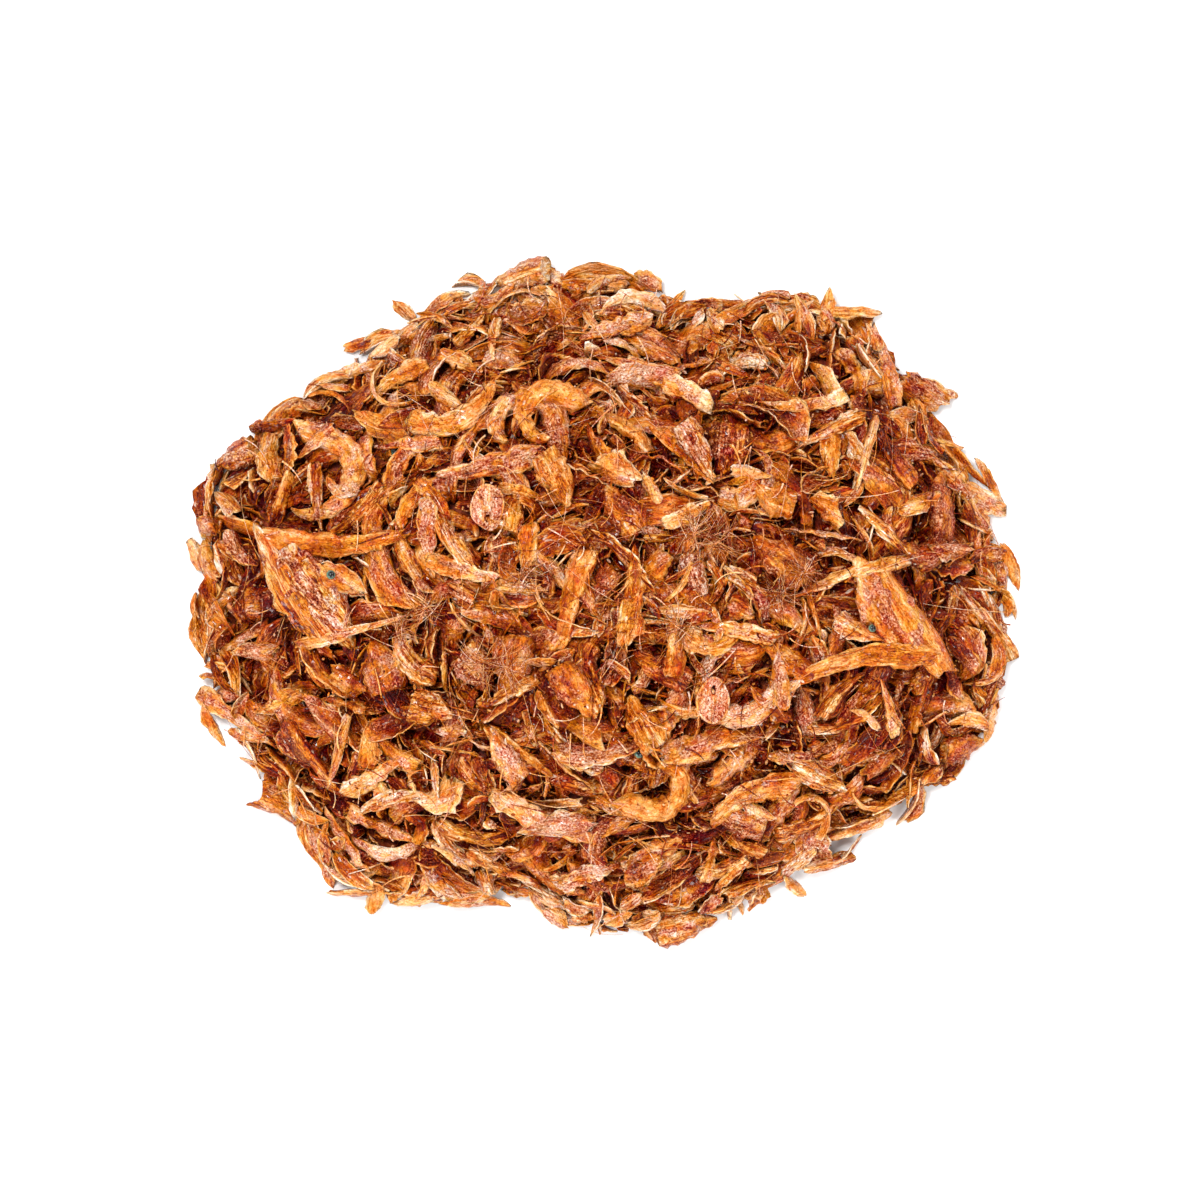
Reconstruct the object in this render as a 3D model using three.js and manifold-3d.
// A loose heap of smoked, dried crayfish (small shrimps), as it lies tipped out on a flat surface.
// Millimetres, +Z up. The origin is the middle of the heap's footprint, on the surface it lies on.
// The heap is one solid: an uneven mound, with the crayfish that show on top of it fused to the mound.
import * as THREE from "three";
import { mergeVertices } from "three/addons/utils/BufferGeometryUtils.js";
import Module from "manifold-3d";

const wasm = await Module();
wasm.setup();

// Driving dimensions of the heap.
const FOOTPRINT_RADIUS = 88; // mean, from the centre to where the outermost crayfish end
const HEAP_HEIGHT = 44; // to the top of the highest crayfish
const TOP_LAYER = 6.5; // how far the highest crayfish stand over the mound that they lie on
const SHOULDER = 2.3; // how full the mound's profile is: 1 is a straight cone, 2 a dome
const FOOT_EASE = 0.9; // below 1 the mound's foot is steeper
// Waves round the footprint: how many lobes, how far each stands out, and where the first one points.
const OUTLINE_WAVES = [
  { lobes: 2, swell: 10, turn: 3 },
  { lobes: 6, swell: 3, turn: -14 },
  { lobes: 8, swell: 1, turn: 9.5 },
  { lobes: 10, swell: 1.2, turn: 17 },
];
const MOUND_INSET = 10; // the mound stays this far inside the footprint
const MOUND_EDGE = 1.5; // thickness of the mound where it ends
const MOUND_BUMP = 1.8; // how far its bumps stand out, about as much as a piece that is half buried
const MOUND_WAVE = 23; // from one bump to the next
const MOUND_SPOKES = 40;
const MOUND_STEPS = 7;

// The driving dimensions of each kind of piece: faces round it and along it, thickness as a share of width.
const KINDS = {
  crayfish: { sides: 6, steps: 8, thick: 0.8 },
  tail: { sides: 5, steps: 4, thick: 0.75 },
  head: { sides: 5, steps: 4, thick: 0.65 },
  chip: { sides: 4, steps: 4, thick: 0.6 },
  husk: { sides: 4, steps: 4, thick: 0.5 },
};

// The pieces that show best, by where they lie: from the thick end (x, y) to the thin end (x, y), the
// greatest width, and how far the piece curls on the way, in degrees, to the left as it runs.
// The heap looks alike after half a turn, so each is laid twice.
const SHOWN = [
  ["tail", -79, 12, -43, 20, 5.8, 12], // the long tail of the largest crayfish
  ["head", -77, 12, -63, -4, 9.5, 0], // its head, folded back under the tail
  ["tail", -99, 15, -84, -6, 5.2, 10],
  ["husk", -92, 33, -94, 19, 5.4, 0],
  ["chip", -89, 17, -82, 9, 4.4, 0],
  ["tail", -74, 32, -79, 16, 3.8, -12],
  ["tail", -69, 33, -67, 16, 4.2, 8],
  ["chip", -64, 42, -72, 34, 4.2, 0],
  ["tail", -52, 29, -65, 17, 4.9, -40],
  ["head", -81, 36, -92, 31, 8.4, 0],
  ["tail", -71, 53, -53, 61, 3.6, -60],
  ["husk", -71, 48, -59, 46, 3.4, -110],
  ["tail", -41, 56, -57, 47, 5.6, 30],
  ["chip", -41, 52, -33, 47, 4.0, 0],
  ["tail", -47, 45, -27, 53, 5.2, 130], // the hook that opens upwards
  ["chip", -59, 45, -45, 39, 6.2, 0],
  ["tail", -40, 59, -28, 54, 4.4, -15],
  ["tail", -24, 68, -26, 56, 3.6, 10],
  ["tail", -36, 61, -28, 69, 3.4, 20],
  ["crayfish", -11, 53, -15, 38, 7.2, 200], // curled up tight
  ["husk", -40, 69, -35, 74, 8.6, 0],
  ["tail", -13, 37, -39, 31, 6.8, -12],
  ["tail", -38, 36, -54, 37, 4.2, 8],
  ["head", -27, 27, -27, 17, 9.0, 0],
  ["head", -13, 36, -5, 24, 9.6, 0],
  ["tail", -42, 10, -24, 6, 4.8, 10],
  ["tail", -17, 19, -17, 5, 5.7, 0],
  ["tail", -3, 12, -9, -12, 6.2, 10],
  ["tail", -75, -9, -45, -3, 4.2, 8], // long, pale and nearly straight
  ["husk", -72, -11, -61, -22, 5.2, 20],
  ["chip", -88, -12, -77, -12, 4.8, 0],
  ["tail", -98, -21, -77, -35, 6.0, -20],
  ["chip", -82, -26, -70, -21, 4.8, 0],
  ["tail", -76, -27, -61, -47, 5.6, 0],
  ["tail", -64, -46, -46, -37, 5.2, 0],
  ["husk", -82, -47, -70, -53, 7.6, 0],
  ["tail", -15, -18, -27, -25, 4.0, 0],
  ["head", -10, -16, 0, -26, 9.6, 0],
  ["tail", -28, -29, -12, -42, 4.0, 0],
  ["head", -19, -44, -27, -31, 7.8, 0],
  ["tail", -28, -45, 0, -56, 5.8, 20],
  ["tail", -59, -51, -37, -47, 4.2, -40],
  ["tail", -16, -68, 0, -69, 4.6, 110],
  ["tail", -69, -44, -65, -68, 5.6, 0],
  ["husk", -66, -69, -48, -69, 6.0, 0],
  // Round the rim, from the top of the left side to the bottom.
  ["chip", -7, 74, -1, 77, 4.4, 0],
  ["chip", -13, 81, -8, 75, 4.2, 60],
  ["head", -12, 79, -27, 74, 8.6, 0],
  ["chip", -49, 71, -44, 66, 3.4, 0],
  ["husk", -52, 58, -45, 47, 2.8, 170], // bent round nearly to a ring
  ["chip", -61, 61, -47, 64, 3.4, 0],
  ["tail", -76, 44, -69, 48, 3.8, 0],
  ["tail", -85, 42, -72, 43, 3.6, 0],
  ["chip", -96, 20, -91, 16, 5.5, 0],
  ["chip", -98, -3, -95, -14, 3.6, 20],
  ["chip", -94, -24, -89, -34, 3, 0],
  ["husk", -86, -37, -72, -41, 4.2, 0],
  ["chip", -77, -41, -74, -49, 4.2, 0],
  ["chip", -53, -67, -54, -75, 4, 0],
  ["chip", -49, -72, -39, -71, 4, 0],
  ["chip", -38, -71, -21, -72, 3.2, 0],
  ["chip", -14, -73, -8, -77, 4.6, 0],
  ["husk", -7, -75, -1, -76, 5.6, 0],
];

// Smaller pieces that fill in under and between those: spread over the whole heap, and round its rim.
const SPREAD = 32;
const ROUND_RIM = 13;
const RIM_INSET = 8; // from the footprint to the middle of a piece at the rim
const RIM_SWING = 60; // the most that such a piece turns away from pointing outwards, in degrees
const FILLER_LENGTH = [12, 21];
const FILLER_WIDTH = [4, 7];
const FILLER_CURL = 50;
const TAIL_EVERY = 3; // every third one is a tail, the others are chips
const SEED = 4711;
const GOLDEN_TURN = Math.PI * (3 - Math.sqrt(5));

// How pieces lie on each other.
const GRID = 1.5; // spacing of the grid that holds the heap's surface while pieces are laid on it
const BITE = 0.8; // how deep a piece is sunk into what it lies on
const TOUCHES = 1; // how many of the places along it are sunk deeper still
const FOLLOW = 0.7; // how much of the slope under it a piece takes up
const TILT = 8; // the most that one end is lifted over the other, in degrees
const STRAIGHTEST = 0.5; // a straight piece is laid on an arc that turns this little, in degrees

// A seeded draw, so that the heap is the same each time.
function seededDraw(seed) {
  let state = seed;
  return (low, high) => {
    state = (Math.imul(state, 1664525) + 1013904223) >>> 0;
    return low + (high - low) * (state / 2 ** 32);
  };
}

// The footprint's radius in the direction of an angle.
function footprint(angle) {
  return OUTLINE_WAVES.reduce(
    (radius, wave) =>
      radius + wave.swell * Math.cos(wave.lobes * (angle - THREE.MathUtils.degToRad(wave.turn))),
    FOOTPRINT_RADIUS,
  );
}

// The height of the mound over a point, 0 outside it. It is uneven in crossing waves, less so at its foot.
function moundHeight(x, y) {
  const share = Math.hypot(x, y) / (footprint(Math.atan2(y, x)) - MOUND_INSET);
  if (share >= 1) return 0;
  const [u, v] = [(x * 2 * Math.PI) / MOUND_WAVE, (y * 2 * Math.PI) / MOUND_WAVE];
  const bump = (Math.sin(u) * Math.cos(v) + Math.sin(0.7 * (u + v)) * Math.cos(1.3 * (u - v))) / 2;
  const dome = (HEAP_HEIGHT - TOP_LAYER) * (1 - share ** SHOULDER) ** FOOT_EASE;
  return dome + MOUND_BUMP * bump * Math.min(1, 4 * (1 - share));
}

// A three.js geometry as a manifold-3d solid.
function toSolid(geometry) {
  const bare = new THREE.BufferGeometry();
  bare.setAttribute("position", geometry.getAttribute("position"));
  bare.setIndex(geometry.index);
  const merged = mergeVertices(bare, 1e-4);
  return new wasm.Manifold(
    new wasm.Mesh({
      numProp: 3,
      vertProperties: new Float32Array(merged.attributes.position.array),
      triVerts: new Uint32Array(merged.index.array),
    }),
  );
}

// A manifold-3d solid as a three.js geometry.
function toGeometry(solid) {
  const mesh = solid.getMesh();
  const geometry = new THREE.BufferGeometry();
  geometry.setAttribute("position", new THREE.BufferAttribute(mesh.vertProperties, 3));
  geometry.setIndex(new THREE.BufferAttribute(mesh.triVerts, 1));
  geometry.computeVertexNormals();
  return geometry;
}

// The mound: a turned profile of radius 1 and height 1, stretched to the footprint and its height.
function mound() {
  const profile = [new THREE.Vector2(0, 0)];
  for (let step = 0; step <= MOUND_STEPS; step++) {
    profile.push(new THREE.Vector2(Math.sqrt(1 - step / MOUND_STEPS), 1));
  }
  profile.splice(1, 0, new THREE.Vector2(1, 0));
  const geometry = new THREE.LatheGeometry(profile, MOUND_SPOKES);
  geometry.rotateX(Math.PI / 2); // the lathe turns about Y, the heap stands on Z
  const place = geometry.getAttribute("position");
  for (let i = 0; i < place.count; i++) {
    const share = Math.hypot(place.getX(i), place.getY(i));
    const angle = Math.atan2(place.getY(i), place.getX(i));
    const radius = share * (footprint(angle) - MOUND_INSET);
    const [x, y] = [radius * Math.cos(angle), radius * Math.sin(angle)];
    place.setXYZ(i, x, y, place.getZ(i) > 0.5 ? moundHeight(x, y) + MOUND_EDGE : 0);
  }
  return toSolid(geometry);
}

// How wide a piece is at a share of the way from its thick end to its thin end.
const PROFILES = {
  crayfish: (t) => 0.28 + 0.72 * Math.sin(Math.PI * Math.min(1, 0.12 + t * 1.02)) ** 0.8,
  tail: (t) => Math.min(1, 4.5 * t + 0.3) * (1 - 0.72 * t ** 1.5),
  head: (t) => Math.min(1, 3 * t + 0.45) * (1 - 0.8 * t ** 2.6),
  chip: (t) => 0.55 + 0.45 * Math.sin(Math.PI * t),
  husk: (t) => 0.45 + 0.55 * Math.sin(Math.PI * (0.15 + 0.8 * t)),
};

// The heap's surface so far: the mound at first, and then also every piece that has been laid on it.
class Surface {
  constructor() {
    this.half = Math.ceil((1.3 * FOOTPRINT_RADIUS) / GRID);
    this.row = 2 * this.half + 1;
    this.heights = new Float32Array(this.row * this.row);
    for (let i = 0; i < this.heights.length; i++) {
      const [x, y] = [(i % this.row) - this.half, Math.floor(i / this.row) - this.half];
      const height = moundHeight(x * GRID, y * GRID);
      this.heights[i] = height > 0 ? height + MOUND_EDGE : 0;
    }
  }

  cell(x, y) {
    return Math.round(x / GRID) + this.half + (Math.round(y / GRID) + this.half) * this.row;
  }

  at(x, y) {
    return this.heights[this.cell(x, y)];
  }

  raise(x, y, height) {
    const cell = this.cell(x, y);
    this.heights[cell] = Math.max(this.heights[cell], height);
  }
}

// One piece, laid on the surface: a sphere pulled out along an arc and shaped by its profile.
function piece(surface, kind, x0, y0, x1, y1, width, curl, tilt) {
  const { sides, steps, thick } = KINDS[kind];
  const chord = Math.hypot(x1 - x0, y1 - y0);
  const turn = THREE.MathUtils.degToRad(curl || STRAIGHTEST);
  const start = Math.atan2(y1 - y0, x1 - x0) - turn / 2;
  const arc = chord / (2 * Math.sin(turn / 2));
  const middle = (t) => [
    x0 + arc * (Math.sin(start + turn * t) - Math.sin(start)),
    y0 - arc * (Math.cos(start + turn * t) - Math.cos(start)),
  ];
  const half = (t) => (width / 2) * PROFILES[kind](t);

  // Its slope follows the surface between its ends, and it is let down until it touches in a few places.
  const lift = chord * Math.tan(THREE.MathUtils.degToRad(tilt));
  const slope = FOLLOW * (surface.at(x1, y1) - surface.at(x0, y0)) + lift;
  const along = Array.from({ length: 2 * steps + 1 }, (_, i) => i / (2 * steps));
  const touch = along.map((t) => surface.at(...middle(t)) + half(t) * thick - BITE - slope * t);
  const low = touch.sort((one, other) => other - one)[TOUCHES];

  const geometry = new THREE.SphereGeometry(1, sides, steps);
  const place = geometry.getAttribute("position");
  for (let i = 0; i < place.count; i++) {
    const t = (1 - place.getY(i)) / 2;
    const round = Math.max(Math.hypot(place.getX(i), place.getZ(i)), 1e-9);
    const reach = t < 1e-6 || t > 1 - 1e-6 ? 0 : half(t) / round;
    const across = reach * place.getX(i);
    const up = reach * thick * place.getZ(i);
    const [x, y] = middle(t);
    const facing = start + turn * t;
    place.setXYZ(i, x - across * Math.sin(facing), y + across * Math.cos(facing), low + slope * t + up);
  }
  for (const t of along) {
    for (const side of [-0.6, 0, 0.6]) {
      const [x, y] = middle(t);
      const facing = start + turn * t;
      const across = side * half(t);
      const top = low + slope * t + half(t) * thick * Math.sqrt(1 - side * side);
      surface.raise(x - across * Math.sin(facing), y + across * Math.cos(facing), top);
    }
  }
  return toSolid(geometry);
}

// A piece, and the same piece after half a turn of the heap.
function twice(surface, kind, x0, y0, x1, y1, ...rest) {
  return [
    piece(surface, kind, x0, y0, x1, y1, ...rest),
    piece(surface, kind, -x0, -y0, -x1, -y1, ...rest),
  ];
}

// Every piece that shows: the fillers first, so that the others lie on them.
function pieces() {
  const draw = seededDraw(SEED);
  const surface = new Surface();
  const made = [];
  for (let i = 0; i < SPREAD + ROUND_RIM; i++) {
    const rim = i < ROUND_RIM;
    const angle = rim ? (i * Math.PI) / ROUND_RIM : i * GOLDEN_TURN;
    const share = rim ? 1 : Math.sqrt((i - ROUND_RIM + 0.5) / SPREAD);
    const reach = (footprint(angle) - RIM_INSET) * share;
    const swing = THREE.MathUtils.degToRad(rim ? RIM_SWING : 180);
    const heading = angle + draw(-swing, swing);
    const half = draw(...FILLER_LENGTH) / 2;
    const [x, y] = [reach * Math.cos(angle), reach * Math.sin(angle)];
    const [dx, dy] = [half * Math.cos(heading), half * Math.sin(heading)];
    const kind = i % TAIL_EVERY ? "chip" : "tail";
    const width = draw(...FILLER_WIDTH);
    const curl = draw(-FILLER_CURL, FILLER_CURL);
    made.push(...twice(surface, kind, x - dx, y - dy, x + dx, y + dy, width, curl, draw(-TILT, TILT)));
  }
  for (const shown of SHOWN) {
    made.push(...twice(surface, ...shown, draw(-TILT, TILT)));
  }
  return made;
}

// Everything under the surface that the heap lies on.
function underside() {
  const size = 3 * FOOTPRINT_RADIUS;
  const block = new THREE.BoxGeometry(size, size, HEAP_HEIGHT);
  block.translate(0, 0, -HEAP_HEIGHT / 2);
  return toSolid(block);
}

// The heap as one solid, with a flat underside. Scraps that touch nothing are left out.
function heap() {
  const joined = wasm.Manifold.union([mound(), ...pieces()]);
  const bodies = joined.subtract(underside()).decompose();
  return bodies.reduce((largest, body) => (body.volume() > largest.volume() ? body : largest));
}

const smokedCrayfish = new THREE.MeshStandardMaterial({ color: 0xb46a36, roughness: 0.6, metalness: 0 });
const crayfishHeap = new THREE.Mesh(toGeometry(heap()), smokedCrayfish);
crayfishHeap.name = "crayfish_heap";

const part = new THREE.Group();
part.add(crayfishHeap);

export default part;
